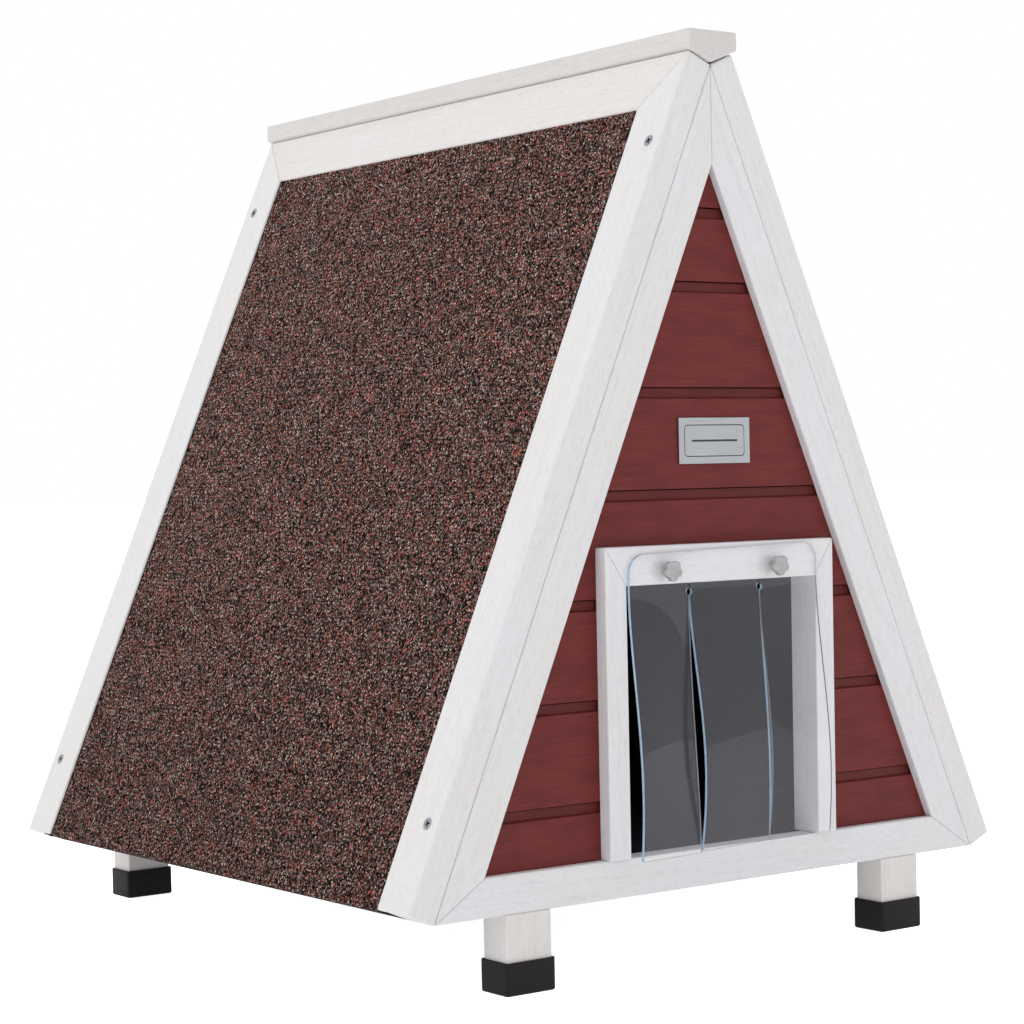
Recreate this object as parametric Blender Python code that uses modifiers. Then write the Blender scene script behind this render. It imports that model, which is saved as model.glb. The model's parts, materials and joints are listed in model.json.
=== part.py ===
"""A-frame rabbit house.

Two felted roof panels lean on a boarded gable at each end and meet under a ridge cap. The front
gable has a framed doorway with a clear flap, slit into three strips that swing on their own.
Millimetres are written with MM; the model is in metres, +Z up, front facing -Y.
"""
import math

import bmesh
import bpy
from mathutils import Matrix, Vector

MM = 0.001
WELD = 0.01 * MM          # vertices closer than this are one
FIT = 0.3 * MM            # clearance between pieces that touch
SEGMENTS = 20             # facets round a turned piece

# House as a whole
PITCH = math.radians(66.5)
HALF_WIDTH = 255 * MM     # to the roof's outer lower corner
EAVES_Z = 60 * MM         # height of that corner
LENGTH = 530 * MM         # over the two gables

# Roof panels
ROOF_THICK = 20 * MM
STILE_FACE = 36 * MM
TOP_RAIL_FACE = 38 * MM
PANEL_LIP = 10 * MM       # how far deck and felt run in under the frame
FELT_SINK = 3.5 * MM      # felt's face below the frame's face
FELT_THICK = 2 * MM
FELT_OVERHANG = 2 * MM    # felt past the lower end of the panel
SCREW_FROM_EDGE = 12 * MM
SCREW_FROM_FOOT = 58.5 * MM
SCREW_FROM_TOP = 64.5 * MM

# Gables
GABLE_GAP = 0.5 * MM      # shadow gap between a gable and the roof panels
GABLE_FACE = 25.5 * MM    # width of the sloping stiles
GABLE_DEEP = 25 * MM
RAIL_BOTTOM = 52 * MM
RAIL_TOP = 77 * MM
BOARD_LIP = 10 * MM       # board ends hidden behind the stiles

# Shiplap boards: heights of the seams above the bottom rail
SEAMS = [z * MM for z in (115, 181, 246, 316, 383, 453, 502)]
BOARD_SINK = 6 * MM
BOARD_THICK = 12 * MM
SEAM_GAP = 0.8 * MM
GROOVE_HIGH = 7 * MM
GROOVE_DEEP = 2.5 * MM
GROOVE_RAMP = 1.2 * MM
TONGUE_HIGH = 7 * MM
DOOR_BOARDS = 3           # boards that the doorway cuts in two

# Doorway
DOOR_OUTER = 99.8 * MM    # half width over the frame
DOOR_INNER = 82.8 * MM    # half width of the opening
DOOR_HEAD_LOW = 255 * MM
DOOR_HEAD_HIGH = 280 * MM
DOOR_PROUD = 4 * MM       # past the gable's face
DOOR_DEEP = 25 * MM

# Flap
FLAP_HALF = 82.1 * MM
FLAP_TOP = 276.5 * MM
FLAP_BOTTOM = 77.7 * MM
FLAP_THICK = 2 * MM
FLAP_CORNER = 12 * MM
BEND_Z = 249.5 * MM       # line the strips swing about
BEND_CLEAR = 1.2 * MM     # sheet left off on each side of that line
SLITS = [-31.6 * MM, 30.1 * MM]
SLIT_WIDE = 0.8 * MM
SLIT_HOLE = 2.4 * MM      # radius of the hole that ends each slit

# Thumbscrews that clamp the flap
THUMB_X = {"left": -50.7 * MM, "right": 43.3 * MM}
THUMB_Z = 263.7 * MM
THUMB_STEM = 2 * MM
THUMB_DEPTH = 13 * MM
THUMB_COLLAR = 4.4 * MM
THUMB_COLLAR_THICK = 1.6 * MM
THUMB_NECK = 2.8 * MM
THUMB_HEAD = 6.2 * MM     # mean radius of the flower-shaped head
THUMB_LOBE = 0.9 * MM
THUMB_LOBES = 5
THUMB_HEAD_THICK = 4.5 * MM
THUMB_STANDOFF = 4 * MM   # from the flap's face to the head

# Nameplate
PLATE_X = 2 * MM          # middle of the plate, a little off the middle of the gable
PLATE_HALF = 31 * MM
PLATE_LOW = 333 * MM
PLATE_HIGH = 363.5 * MM
PLATE_THICK = 1.2 * MM

# Floor
FLOOR_LOW = 64.5 * MM
FLOOR_HIGH = 76.5 * MM
FLOOR_BEARING = 10 * MM   # rebate in each gable that carries the floor's end

# Legs
LEG_X = 164 * MM
LEG_WIDE = 35 * MM
LEG_DEEP = 25 * MM
TENON_RADIUS = 6 * MM
TENON_HIGH = 11 * MM
LEG_CAP_HIGH = 21.3 * MM
LEG_CAP_WALL = 1.8 * MM
LEG_CAP_FLOOR = 2.5 * MM

# Ridge cap
CAP_HALF = 20.5 * MM
CAP_SIDE = 12.3 * MM
CAP_OVERHANG = 3 * MM
CAP_TIP_X = -1.4 * MM     # the cap sits tight on the left panel and a little open on the right
CAP_LEFT_GAP = 0.4 * MM
CAP_TIP_GAP = 1 * MM
CAP_RIGHT_GAP = 0.8 * MM

# Roof screws
HEAD_RADIUS = 4 * MM
HEAD_DEEP = 2.6 * MM
HEAD_PROUD = 0.2 * MM
SHANK_RADIUS = 2 * MM
SCREW_LONG = 32 * MM
CROSS_LONG = 4.6 * MM
CROSS_WIDE = 1 * MM
CROSS_DEEP = 1.5 * MM

# The origin is under the middle of the whole house, thumbscrews and ridge cap included
THUMB_REACH = DOOR_PROUD + FIT + FLAP_THICK + THUMB_STANDOFF + THUMB_HEAD_THICK
MID_Y = (THUMB_REACH - CAP_OVERHANG) / 2
FRONT_Y = MID_Y - LENGTH / 2
REAR_Y = MID_Y + LENGTH / 2
ROOF_SLOPE = (HALF_WIDTH - ROOF_THICK * math.sin(PITCH)) / math.cos(PITCH) - FIT


def apex(depth):
    """Height where a line that deep inside both roof slopes crosses the middle."""
    return EAVES_Z + HALF_WIDTH * math.tan(PITCH) - depth / math.cos(PITCH)


def half_at(height, depth):
    """Half width of the house at a height, that deep inside the roof slopes."""
    return (apex(depth) - height) / math.tan(PITCH)


# ---------------------------------------------------------------- helpers

def collection(name):
    made = bpy.data.collections.new(name)
    bpy.context.scene.collection.children.link(made)
    return made


def finish(name, colour, roughness, metallic=0.0, transmission=0.0):
    material = bpy.data.materials.new(name)
    material.use_nodes = True
    shader = material.node_tree.nodes["Principled BSDF"]
    shader.inputs["Base Color"].default_value = (*colour, 1)
    shader.inputs["Roughness"].default_value = roughness
    shader.inputs["Metallic"].default_value = metallic
    shader.inputs["Transmission Weight"].default_value = transmission
    return material


def empty(name, location, rotation):
    holder = bpy.data.objects.new(name, None)
    holder.location = location
    holder.rotation_euler = rotation
    PARTS.objects.link(holder)
    return holder


def part(name, mesh, material, parent=None, location=(0, 0, 0)):
    """A sub-part of the house, from a finished mesh."""
    piece = bpy.data.objects.new(name, mesh)
    mesh.materials.append(material)
    PARTS.objects.link(piece)
    piece.parent = parent
    piece.location = location
    return piece


def cutter(name, mesh, parent=None, location=(0, 0, 0)):
    """A shape that only cuts or joins others."""
    tool = bpy.data.objects.new(name, mesh)
    CUTTERS.objects.link(tool)
    tool.parent = parent
    tool.location = location
    tool.hide_render = True
    tool.display_type = "WIRE"
    return tool


def boolean(piece, tool, operation="DIFFERENCE"):
    change = piece.modifiers.new(tool.name, "BOOLEAN")
    change.operation = operation
    change.object = tool


def soften(piece, width, segments=2):
    """Take the sharp arris off a piece's edges."""
    bevel = piece.modifiers.new("arris", "BEVEL")
    bevel.width = width
    bevel.segments = segments
    bevel.limit_method = "ANGLE"
    bevel.angle_limit = math.radians(30)


def slab(outline, low, high):
    """Mesh of a flat outline in XY, filled and extruded from one Z to another."""
    curve = bpy.data.curves.new("outline", "CURVE")
    curve.dimensions = "2D"
    curve.fill_mode = "BOTH"
    curve.extrude = (high - low) / 2
    spline = curve.splines.new("POLY")
    spline.points.add(len(outline) - 1)
    for point, (x, y) in zip(spline.points, outline):
        point.co = (x, y, 0, 1)
    spline.use_cyclic_u = True
    holder = bpy.data.objects.new("outline", curve)
    CUTTERS.objects.link(holder)
    graph = bpy.context.evaluated_depsgraph_get()
    mesh = bpy.data.meshes.new_from_object(holder.evaluated_get(graph))
    bpy.data.objects.remove(holder)
    shape = bmesh.new()
    shape.from_mesh(mesh)
    bmesh.ops.remove_doubles(shape, verts=shape.verts, dist=WELD)
    bmesh.ops.dissolve_limit(shape, angle_limit=math.radians(1), verts=shape.verts, edges=shape.edges)
    bmesh.ops.recalc_face_normals(shape, faces=shape.faces)
    bmesh.ops.translate(shape, verts=shape.verts, vec=(0, 0, (low + high) / 2))
    shape.to_mesh(mesh)
    shape.free()
    return mesh


def box(low, high):
    """Mesh of a box between two corners."""
    low, high = Vector(low), Vector(high)
    shape = bmesh.new()
    bmesh.ops.create_cube(shape, size=1)
    bmesh.ops.scale(shape, verts=shape.verts, vec=high - low)
    bmesh.ops.translate(shape, verts=shape.verts, vec=(low + high) / 2)
    mesh = bpy.data.meshes.new("box")
    shape.to_mesh(mesh)
    shape.free()
    return mesh


def cylinder(radius, low, high, segments=SEGMENTS):
    """Mesh of an upright cylinder from one Z to another."""
    shape = bmesh.new()
    bmesh.ops.create_cone(shape, cap_ends=True, segments=segments, radius1=radius, radius2=radius,
                          depth=high - low)
    bmesh.ops.translate(shape, verts=shape.verts, vec=(0, 0, (low + high) / 2))
    mesh = bpy.data.meshes.new("cylinder")
    shape.to_mesh(mesh)
    shape.free()
    return mesh


def turned(profile, segments=SEGMENTS):
    """Mesh of a profile of (radius, height), top to bottom, turned about Z."""
    mesh = bpy.data.meshes.new("profile")
    edges = [(i, i + 1) for i in range(len(profile) - 1)]
    mesh.from_pydata([(radius, 0, height) for radius, height in profile], edges, [])
    holder = bpy.data.objects.new("profile", mesh)
    CUTTERS.objects.link(holder)
    screw = holder.modifiers.new("turn", "SCREW")
    screw.steps = segments
    screw.render_steps = segments
    screw.use_merge_vertices = True
    screw.merge_threshold = WELD
    graph = bpy.context.evaluated_depsgraph_get()
    done = bpy.data.meshes.new_from_object(holder.evaluated_get(graph))
    bpy.data.objects.remove(holder)
    return done


def trim(mesh, planes):
    """Cut a closed mesh off beyond each (point, outward normal) and close the cut."""
    shape = bmesh.new()
    shape.from_mesh(mesh)
    for point, normal in planes:
        geometry = shape.verts[:] + shape.edges[:] + shape.faces[:]
        cut = bmesh.ops.bisect_plane(shape, geom=geometry, dist=WELD, plane_co=point,
                                     plane_no=normal, clear_outer=True)["geom_cut"]
        rim = [item for item in cut if isinstance(item, bmesh.types.BMEdge)]
        bmesh.ops.holes_fill(shape, edges=rim)
    bmesh.ops.recalc_face_normals(shape, faces=shape.faces)
    shape.to_mesh(mesh)
    shape.free()
    return mesh


# ---------------------------------------------------------------- roof screws

def screw_mesh():
    top = HEAD_PROUD
    return turned([(0, top), (HEAD_RADIUS * 0.8, top), (HEAD_RADIUS, 0), (SHANK_RADIUS, -HEAD_DEEP),
                   (SHANK_RADIUS, -SCREW_LONG + SHANK_RADIUS), (0, -SCREW_LONG)])


def screw_hole_mesh():
    over = ROOF_THICK
    return turned([(0, over), (HEAD_RADIUS + FIT, over), (HEAD_RADIUS + FIT, 0),
                   (SHANK_RADIUS + FIT, -HEAD_DEEP), (SHANK_RADIUS + FIT, -SCREW_LONG - FIT),
                   (0, -SCREW_LONG - FIT)])


def roof_screw(name, panel, slope, along):
    """A countersunk cross-head screw through a roof stile into the gable; returns its hole."""
    place = (slope, along, 0)
    screw = part(name, screw_mesh(), ZINC, panel, place)
    for turn in (math.radians(20), math.radians(110)):
        slot = box((-CROSS_LONG / 2, -CROSS_WIDE / 2, HEAD_PROUD - CROSS_DEEP),
                   (CROSS_LONG / 2, CROSS_WIDE / 2, HEAD_PROUD + CROSS_DEEP))
        slot.transform(Matrix.Rotation(turn, 4, "Z"))
        boolean(screw, cutter(name + "_slot", slot, panel, place))
    return cutter(name + "_hole", screw_hole_mesh(), panel, place)


# ---------------------------------------------------------------- roof panels

def roof_panel(side):
    """One roof panel, in its own axes: X up the slope, Z out of the roof. Returns screw holes.

    side is "left" or "right", seen from the front.
    """
    sign = -1 if side == "left" else 1
    half_turn = 0 if side == "left" else math.pi
    panel = empty(f"roof_{side}_axes", (sign * HALF_WIDTH, MID_Y, EAVES_Z), (0, -PITCH, half_turn))
    end = LENGTH / 2
    inner = end - STILE_FACE
    rail = ROOF_SLOPE - TOP_RAIL_FACE
    front = -1 if side == "left" else 1      # which way the front lies along the panel's own Y

    pocket = box((-ROOF_THICK, -inner - PANEL_LIP, -2 * ROOF_THICK),
                 (rail + PANEL_LIP, inner + PANEL_LIP, -FELT_SINK))
    pocket = cutter(f"roof_{side}_pocket", pocket, panel)
    top_rail = part(f"roof_{side}_top_rail",
                    slab([(ROOF_SLOPE, -end + FIT), (ROOF_SLOPE, end - FIT), (rail, inner - FIT),
                          (rail, -inner + FIT)], -ROOF_THICK, 0), WHITE_WOOD, panel)
    soften(top_rail, 1 * MM)
    boolean(top_rail, pocket)

    holes = {}
    for place, way in (("front", front), ("rear", -front)):
        outline = [(0, way * end), (ROOF_SLOPE, way * end), (rail, way * inner), (0, way * inner)]
        stile = part(f"roof_{side}_{place}_stile", slab(outline, -ROOF_THICK, 0), WHITE_WOOD, panel)
        soften(stile, 1 * MM)
        boolean(stile, pocket)
        along = way * (end - SCREW_FROM_EDGE)
        for level, slope in (("bottom", SCREW_FROM_FOOT), ("top", ROOF_SLOPE - SCREW_FROM_TOP)):
            hole = roof_screw(f"roof_screw_{side}_{place}_{level}", panel, slope, along)
            boolean(stile, hole)
            holes.setdefault(place, []).append(hole)

    wide = inner + PANEL_LIP - FIT
    high = rail + PANEL_LIP - FIT
    felt_top = -FELT_SINK - FIT
    felt_low = felt_top - FELT_THICK
    part(f"roof_{side}_felt", box((-FELT_OVERHANG, -wide, felt_low), (high, wide, felt_top)),
         FELT, panel)
    part(f"roof_{side}_deck", box((0, -wide, -ROOF_THICK + FIT), (high, wide, felt_low - FIT)),
         DARK_WOOD, panel)
    return holes


# ---------------------------------------------------------------- gables

def board_section(low, high, last=False, first=False, false_seam=None):
    """Outline of one shiplap board: (how far out of the gable's face, height)."""
    face = -BOARD_SINK
    back = face - BOARD_THICK
    middle = (face + back) / 2
    groove = face - GROOVE_DEEP

    def grooved(seam):
        return [(face, seam - GROOVE_HIGH), (groove, seam - GROOVE_HIGH + GROOVE_RAMP), (groove, seam)]

    points = [(face, low)]
    if false_seam:
        points += grooved(false_seam) + [(face, false_seam)]
    if last:
        points += [(face, high), (back, high)]
    else:
        points += grooved(high) + [(middle - FIT, high), (middle - FIT, high + TONGUE_HIGH),
                                   (back, high + TONGUE_HIGH)]
    if first:
        return points + [(back, low)]
    return points + [(back, low + TONGUE_HIGH), (middle, low + TONGUE_HIGH), (middle, low)]


def board_mesh(section, left=None, right=None):
    """A board from side to side, cut to the roof's slopes or to a doorway side."""
    reach = HALF_WIDTH
    mesh = slab(section, -reach, reach)
    mesh.transform(Matrix.Rotation(math.radians(-90), 4, "Y"))
    depth = ROOF_THICK + GABLE_GAP + GABLE_FACE - BOARD_LIP + FIT
    top = Vector((0, apex(depth), 0))
    across, up = math.sin(PITCH), math.cos(PITCH)
    planes = [(top, Vector((-across, up, 0))), (top, Vector((across, up, 0)))]
    if left is not None:
        planes.append((Vector((left, 0, 0)), Vector((-1, 0, 0))))
    if right is not None:
        planes.append((Vector((right, 0, 0)), Vector((1, 0, 0))))
    return trim(mesh, planes)


def gable(end, floor_pocket, screw_holes):
    """One gable's timber frame, in its own axes: X right and Y up seen from outside, Z outwards."""
    front = end == "front"
    axes = empty(f"gable_{end}_axes", (0, FRONT_Y if front else REAR_Y, 0),
                 (math.radians(90), 0, 0 if front else math.pi))
    outer = ROOF_THICK + GABLE_GAP
    inner = outer + GABLE_FACE
    lower, upper = half_at(RAIL_BOTTOM, outer), half_at(RAIL_TOP, inner)

    pocket_top = apex(inner - BOARD_LIP)
    pocket_side = half_at(RAIL_TOP, inner - BOARD_LIP)
    pocket = cutter(f"gable_{end}_rebate",
                    slab([(-pocket_side, RAIL_TOP), (pocket_side, RAIL_TOP), (0, pocket_top)],
                         -2 * GABLE_DEEP, -BOARD_SINK), axes)

    rail = part(f"gable_{end}_bottom_rail",
                slab([(-lower + FIT, RAIL_BOTTOM), (lower - FIT, RAIL_BOTTOM),
                      (upper - FIT, RAIL_TOP), (-upper + FIT, RAIL_TOP)], -GABLE_DEEP, 0),
                WHITE_WOOD, axes)
    soften(rail, 1 * MM)
    boolean(rail, floor_pocket)

    for side in ("left", "right"):
        sign = -1 if (side == "left") == front else 1
        middle = FIT / 2
        drop = middle * math.tan(PITCH)
        stile = part(f"gable_{end}_{side}_stile",
                     slab([(sign * lower, RAIL_BOTTOM), (sign * upper, RAIL_TOP),
                           (sign * middle, apex(inner) - drop), (sign * middle, apex(outer) - drop)],
                          -GABLE_DEEP, 0), WHITE_WOOD, axes)
        soften(stile, 1 * MM)
        boolean(stile, pocket)
        boolean(stile, floor_pocket)
        for hole in screw_holes[side][end]:
            boolean(stile, hole)
    return axes, rail


def front_boards(axes):
    """Boards of the front gable; the doorway cuts the lower ones and notches the next."""
    side = DOOR_OUTER + FIT
    notch = cutter("door_notch", box((-side, 0, -GABLE_DEEP), (side, DOOR_HEAD_HIGH + FIT, GABLE_DEEP)),
                   axes)
    edges = [RAIL_TOP + FIT] + [seam + SEAM_GAP for seam in SEAMS]
    tops = SEAMS + [apex(ROOF_THICK)]
    for index, (low, high) in enumerate(zip(edges, tops)):
        number = index + 1
        section = board_section(low, high, last=number == len(tops), first=index == 0)
        if index < DOOR_BOARDS:
            part(f"front_board_{number}_left", board_mesh(section, right=-side), RED_WOOD, axes)
            part(f"front_board_{number}_right", board_mesh(section, left=side), RED_WOOD, axes)
            continue
        board = part(f"front_board_{number}", board_mesh(section), RED_WOOD, axes)
        if index == DOOR_BOARDS:
            boolean(board, notch)


def rear_boards(axes):
    """Boards of the rear gable, each milled with a false seam half way up."""
    edges = [RAIL_TOP + FIT] + [seam + SEAM_GAP for seam in SEAMS[1::2]]
    tops = SEAMS[1::2] + [apex(ROOF_THICK)]
    for index, (low, high) in enumerate(zip(edges, tops)):
        section = board_section(low, high, last=index == len(tops) - 1, first=index == 0,
                                false_seam=SEAMS[2 * index])
        part(f"rear_board_{index + 1}", board_mesh(section), RED_WOOD, axes)


# ---------------------------------------------------------------- doorway and flap

def door_frame(axes, thumb_holes):
    low, high = DOOR_PROUD - DOOR_DEEP, DOOR_PROUD
    foot = RAIL_TOP + FIT
    head = part("door_frame_head",
                slab([(-DOOR_OUTER + FIT, DOOR_HEAD_HIGH), (DOOR_OUTER - FIT, DOOR_HEAD_HIGH),
                      (DOOR_INNER - FIT, DOOR_HEAD_LOW), (-DOOR_INNER + FIT, DOOR_HEAD_LOW)],
                     low, high), WHITE_WOOD, axes)
    soften(head, 0.8 * MM)
    for hole in thumb_holes:
        boolean(head, hole)
    for side, sign in (("left", -1), ("right", 1)):
        jamb = part(f"door_frame_{side}",
                    slab([(sign * DOOR_OUTER, foot), (sign * DOOR_INNER, foot),
                          (sign * DOOR_INNER, DOOR_HEAD_LOW), (sign * DOOR_OUTER, DOOR_HEAD_HIGH)],
                         low, high), WHITE_WOOD, axes)
        soften(jamb, 0.8 * MM)


def arc(centre, radius, start, stop, steps):
    """Points along an arc, angles in degrees."""
    points = []
    for step in range(steps + 1):
        angle = math.radians(start + (stop - start) * step / steps)
        points.append((centre[0] + radius * math.cos(angle), centre[1] + radius * math.sin(angle)))
    return points


def flap(axes, thumb_holes):
    """The clamped band along the top of the flap, and three strips that hang below it."""
    low = DOOR_PROUD + FIT
    high = low + FLAP_THICK
    bottom = BEND_Z + BEND_CLEAR
    corner_x, corner_z = FLAP_HALF - FLAP_CORNER, FLAP_TOP - FLAP_CORNER
    outline = [(-FLAP_HALF, bottom), (FLAP_HALF, bottom)]
    outline += arc((corner_x, corner_z), FLAP_CORNER, 0, 90, 6)
    outline += arc((-corner_x, corner_z), FLAP_CORNER, 90, 180, 6)
    band = part("flap_band", slab(outline, low, high), CLEAR_SHEET, axes)
    slit_holes = []
    for index, slit in enumerate(SLITS):
        hole = cutter(f"slit_hole_{index}", cylinder(SLIT_HOLE, low - FIT, high + FIT), axes,
                      (slit, BEND_Z, 0))
        slit_holes.append(hole)
    for hole in slit_holes + thumb_holes:
        boolean(band, hole)

    edges = [-FLAP_HALF] + [slit + shift for slit in SLITS for shift in (-SLIT_WIDE / 2, SLIT_WIDE / 2)]
    edges.append(FLAP_HALF)
    top = BEND_Z - BEND_CLEAR
    for index, name in enumerate(("left", "middle", "right")):
        left, right = edges[2 * index], edges[2 * index + 1]
        middle = (low + high) / 2
        mesh = box((left, FLAP_BOTTOM - BEND_Z, low - middle), (right, top - BEND_Z, high - middle))
        strip = part(f"flap_strip_{name}", mesh, CLEAR_SHEET, axes, (0, BEND_Z, middle))
        for hole in slit_holes:
            if left - SLIT_WIDE < hole.location.x < right + SLIT_WIDE:
                boolean(strip, hole)


def flower(steps=50):
    """Outline of a thumbscrew's lobed head."""
    points = []
    for step in range(steps):
        angle = 2 * math.pi * step / steps
        radius = THUMB_HEAD + THUMB_LOBE * math.cos(THUMB_LOBES * angle)
        points.append((radius * math.cos(angle), radius * math.sin(angle)))
    return points


def thumb_holes(axes):
    """Holes for the thumbscrews' stems, through the flap and into the door frame's head."""
    face = DOOR_PROUD + FIT + FLAP_THICK
    stem = cylinder(THUMB_STEM + FIT, DOOR_PROUD - THUMB_DEPTH - FIT, face + FIT)
    return [cutter(f"thumb_hole_{side}", stem, axes, (x, THUMB_Z, 0)) for side, x in THUMB_X.items()]


def thumbscrews(axes):
    base = DOOR_PROUD + FIT + FLAP_THICK + FIT
    head_low = base - FIT + THUMB_STANDOFF
    head_high = head_low + THUMB_HEAD_THICK
    for side, x in THUMB_X.items():
        head_mesh = slab(flower(), head_low, head_high)
        head_mesh.transform(Matrix.Rotation(math.radians(18), 4, "Z"))
        screw = part(f"flap_thumbscrew_{side}", head_mesh, CLEAR_PLASTIC, axes, (x, THUMB_Z, 0))
        soften(screw, 0.9 * MM)
        stem = turned([(0, head_low + FIT), (THUMB_NECK, head_low + FIT),
                       (THUMB_NECK, base + THUMB_COLLAR_THICK), (THUMB_COLLAR, base + THUMB_COLLAR_THICK),
                       (THUMB_COLLAR, base), (THUMB_STEM, base),
                       (THUMB_STEM, DOOR_PROUD - THUMB_DEPTH), (0, DOOR_PROUD - THUMB_DEPTH)])
        boolean(screw, cutter(f"thumb_stem_{side}", stem, axes, (x, THUMB_Z, 0)), "UNION")


def nameplate(axes):
    low = -BOARD_SINK + FIT
    plate = part("nameplate", box((PLATE_X - PLATE_HALF, PLATE_LOW, low),
                                 (PLATE_X + PLATE_HALF, PLATE_HIGH, low + PLATE_THICK)), SILVER, axes)
    soften(plate, 0.3 * MM, 1)


# ---------------------------------------------------------------- floor, legs and ridge cap

def floor_mesh(clearance):
    """Floor panel between the roof slopes, seen along Y, with room added all round."""
    low, high = FLOOR_LOW - clearance, FLOOR_HIGH + 2 * clearance
    depth = ROOF_THICK + GABLE_GAP - clearance
    outline = [(-half_at(low, depth), low), (half_at(low, depth), low),
               (half_at(high, depth), high), (-half_at(high, depth), high)]
    reach = LENGTH / 2 - GABLE_DEEP + FLOOR_BEARING - FIT + clearance
    mesh = slab(outline, -reach, reach)
    mesh.transform(Matrix.Rotation(math.radians(90), 4, "X"))
    return mesh


def leg(name, x, y, rail):
    cap_half = Vector((LEG_WIDE / 2 + FIT + LEG_CAP_WALL, LEG_DEEP / 2 + FIT + LEG_CAP_WALL))
    bottom = LEG_CAP_FLOOR + FIT
    top = RAIL_BOTTOM - FIT
    post = part("leg_" + name, box((-LEG_WIDE / 2, -LEG_DEEP / 2, bottom), (LEG_WIDE / 2, LEG_DEEP / 2, top)),
                WHITE_WOOD, None, (x, y, 0))
    soften(post, 0.8 * MM)
    tenon = cutter("tenon_" + name, cylinder(TENON_RADIUS, top - 2 * MM, top + TENON_HIGH), None, (x, y, 0))
    boolean(post, tenon, "UNION")
    mortise = cylinder(TENON_RADIUS + FIT, top - 2 * MM, top + TENON_HIGH + FIT)
    boolean(rail, cutter("mortise_" + name, mortise, None, (x, y, 0)))

    cap = part("leg_cap_" + name, box((-cap_half.x, -cap_half.y, 0), (cap_half.x, cap_half.y, LEG_CAP_HIGH)),
               BLACK_PLASTIC, None, (x, y, 0))
    soften(cap, 1.6 * MM, 3)
    hollow = box((-LEG_WIDE / 2 - FIT, -LEG_DEEP / 2 - FIT, LEG_CAP_FLOOR),
                 (LEG_WIDE / 2 + FIT, LEG_DEEP / 2 + FIT, 2 * LEG_CAP_HIGH))
    boolean(cap, cutter("leg_cap_hollow_" + name, hollow, None, (x, y, 0)))


def legs(rails):
    inset = LEG_DEEP / 2
    for end, y in (("front", FRONT_Y + inset), ("rear", REAR_Y - inset)):
        for side, x in (("left", -LEG_X), ("right", LEG_X)):
            leg(f"{end}_{side}", x, y, rails[end])


def ridge_cap():
    valley = apex(ROOF_THICK)
    shoulder = valley + CAP_HALF / math.tan(PITCH)
    top = shoulder + CAP_LEFT_GAP + CAP_SIDE
    outline = [(-CAP_HALF, shoulder + CAP_LEFT_GAP), (CAP_TIP_X, valley + CAP_TIP_GAP),
               (CAP_HALF, shoulder + CAP_RIGHT_GAP), (CAP_HALF, top), (-CAP_HALF, top)]
    reach = LENGTH / 2 + CAP_OVERHANG
    mesh = slab(outline, -reach, reach)
    mesh.transform(Matrix.Rotation(math.radians(90), 4, "X"))
    soften(part("ridge_cap", mesh, WHITE_WOOD, None, (0, MID_Y, 0)), 1 * MM)


# ---------------------------------------------------------------- the house

for old in list(bpy.data.objects):
    bpy.data.objects.remove(old)
PARTS = collection("rabbit_house")
CUTTERS = collection("cutters")

WHITE_WOOD = finish("white_washed_wood", (0.80, 0.78, 0.75), 0.6)
RED_WOOD = finish("red_painted_wood", (0.16, 0.035, 0.035), 0.5)
DARK_WOOD = finish("dark_stained_plywood", (0.02, 0.018, 0.018), 0.8)
FELT = finish("mineral_roof_felt", (0.06, 0.04, 0.035), 0.95)
BLACK_PLASTIC = finish("black_plastic", (0.02, 0.02, 0.022), 0.5)
CLEAR_SHEET = finish("clear_soft_sheet", (0.9, 0.93, 0.97), 0.05, transmission=1.0)
CLEAR_PLASTIC = finish("clear_plastic", (0.85, 0.87, 0.9), 0.15, transmission=1.0)
ZINC = finish("zinc_plated_steel", (0.6, 0.6, 0.62), 0.35, metallic=1.0)
SILVER = finish("brushed_nameplate", (0.55, 0.57, 0.58), 0.4, metallic=1.0)

SCREW_HOLES = {side: roof_panel(side) for side in ("left", "right")}
FLOOR_POCKET = cutter("floor_pocket", floor_mesh(FIT), None, (0, MID_Y, 0))
part("floor_panel", floor_mesh(0), DARK_WOOD, None, (0, MID_Y, 0))
FRONT_AXES, FRONT_RAIL = gable("front", FLOOR_POCKET, SCREW_HOLES)
REAR_AXES, REAR_RAIL = gable("rear", FLOOR_POCKET, SCREW_HOLES)
front_boards(FRONT_AXES)
rear_boards(REAR_AXES)
STEM_HOLES = thumb_holes(FRONT_AXES)
door_frame(FRONT_AXES, STEM_HOLES)
flap(FRONT_AXES, STEM_HOLES)
thumbscrews(FRONT_AXES)
nameplate(FRONT_AXES)
legs({"front": FRONT_RAIL, "rear": REAR_RAIL})
ridge_cap()
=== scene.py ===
"""Rabbit house: the looks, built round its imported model.

Laid out as an add-on. Property groups hold the sizes and colours, each piece or group of like pieces
has an operator, and a panel in the 3D view's sidebar lists them. Run as a script, it makes them all.
Lengths are in metres, +Z is up, and the doorway faces -Y.
"""
import json
import math
from contextlib import contextmanager

import bmesh
import bpy
from bpy.props import FloatProperty, FloatVectorProperty, IntProperty, PointerProperty
from mathutils import Euler, Matrix, Vector


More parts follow.
